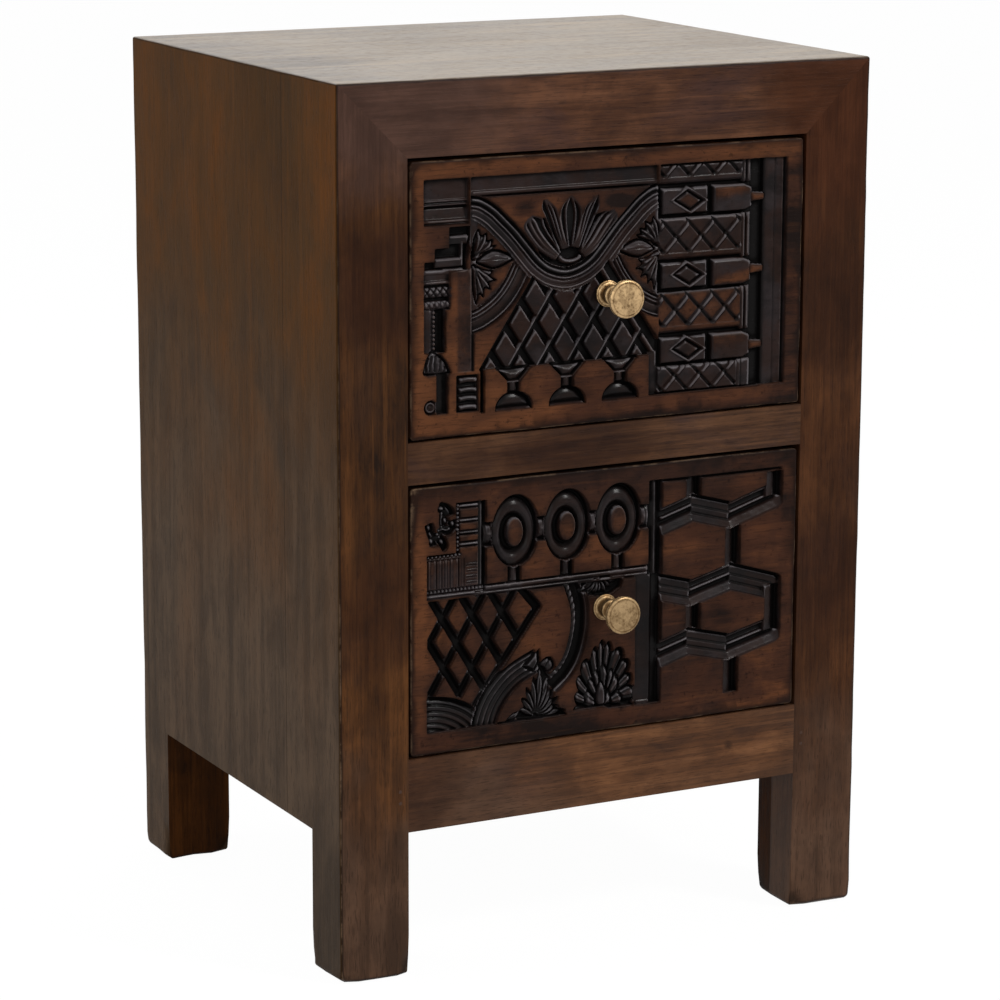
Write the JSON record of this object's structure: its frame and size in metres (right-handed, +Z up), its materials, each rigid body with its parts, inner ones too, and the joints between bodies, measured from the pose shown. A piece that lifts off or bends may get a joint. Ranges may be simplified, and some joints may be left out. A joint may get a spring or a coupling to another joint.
{
  "type": "carved bedside cabinet",
  "caption": "Free-standing wooden bedside cabinet on square legs, with stacked sliding drawers behind carved fronts and turned brass knobs.",
  "frame": {"origin": "on the floor, under the middle of the whole cabinet with its knobs", "axes": "+Z up, -Y out of the carved fronts, +X to the right of someone facing them"},
  "size_m": [0.4, 0.3694, 0.6],
  "materials": {
    "frame_wood": "dark stained hardwood, satin wax, rubbed edges",
    "side_wood": "dark stained hardwood planks, satin wax",
    "top_wood": "dark stained hardwood with a pale waxed sheen",
    "leg_block_wood": "dark stained hardwood, unfinished inside",
    "carved_wood": "red-brown waxed hardwood, recesses stained black",
    "inner_wood": "plain sawn hardwood",
    "box_wood": "planed pale hardwood",
    "plywood": "thin veneered board",
    "pin_wood": "dark wooden pegs",
    "knob_brass": "aged, brushed antique brass",
    "screw_steel": "bright zinc-plated steel"
  },
  "bodies": {
    "cabinet": {"top_panel": "top_wood", "top_rail": "frame_wood", "middle_rail": "frame_wood", "bottom_rail": "frame_wood", "tenon_pins": "pin_wood", "left_front_post": "frame_wood", "right_front_post": "frame_wood", "left_front_leg_block": "leg_block_wood", "right_front_leg_block": "leg_block_wood", "left_side_panel": "side_wood", "right_side_panel": "side_wood", "back_nails": "screw_steel", "back_bottom_rail": "inner_wood", "back_top_rail": "inner_wood", "back_panel": "plywood", "left_rear_post": "side_wood", "right_rear_post": "side_wood", "bottom_panel": "plywood", "left_kicker": "inner_wood", "right_kicker": "inner_wood", "lower_left_runner": "inner_wood", "lower_left_guide": "inner_wood", "lower_right_runner": "inner_wood", "lower_right_guide": "inner_wood", "lower_drawer_stops": "inner_wood", "upper_left_runner": "inner_wood", "upper_left_guide": "inner_wood", "upper_right_runner": "inner_wood", "upper_right_guide": "inner_wood", "upper_drawer_stops": "inner_wood"},
    "lower_drawer": {"lower_carved_front": "carved_wood", "lower_box_front": "box_wood", "lower_box_left_side": "box_wood", "lower_box_right_side": "box_wood", "lower_box_back": "box_wood", "lower_box_bottom": "plywood", "lower_knob": "knob_brass", "lower_knob_backplate": "knob_brass", "lower_knob_screw": "screw_steel", "lower_knob_washer": "screw_steel", "lower_front_screws": "screw_steel"},
    "upper_drawer": {"upper_carved_front": "carved_wood", "upper_box_front": "box_wood", "upper_box_left_side": "box_wood", "upper_box_right_side": "box_wood", "upper_box_back": "box_wood", "upper_box_bottom": "plywood", "upper_knob": "knob_brass", "upper_knob_backplate": "knob_brass", "upper_knob_screw": "screw_steel", "upper_knob_washer": "screw_steel", "upper_front_screws": "screw_steel"}
  },
  "joints": [
    {"name": "lower_drawer_slide", "type": "slide", "parent": "cabinet", "child": "lower_drawer", "axis": [0, -1, 0], "range_m": [0, 0.22]},
    {"name": "upper_drawer_slide", "type": "slide", "parent": "cabinet", "child": "upper_drawer", "axis": [0, -1, 0], "range_m": [0, 0.22]}
  ]
}
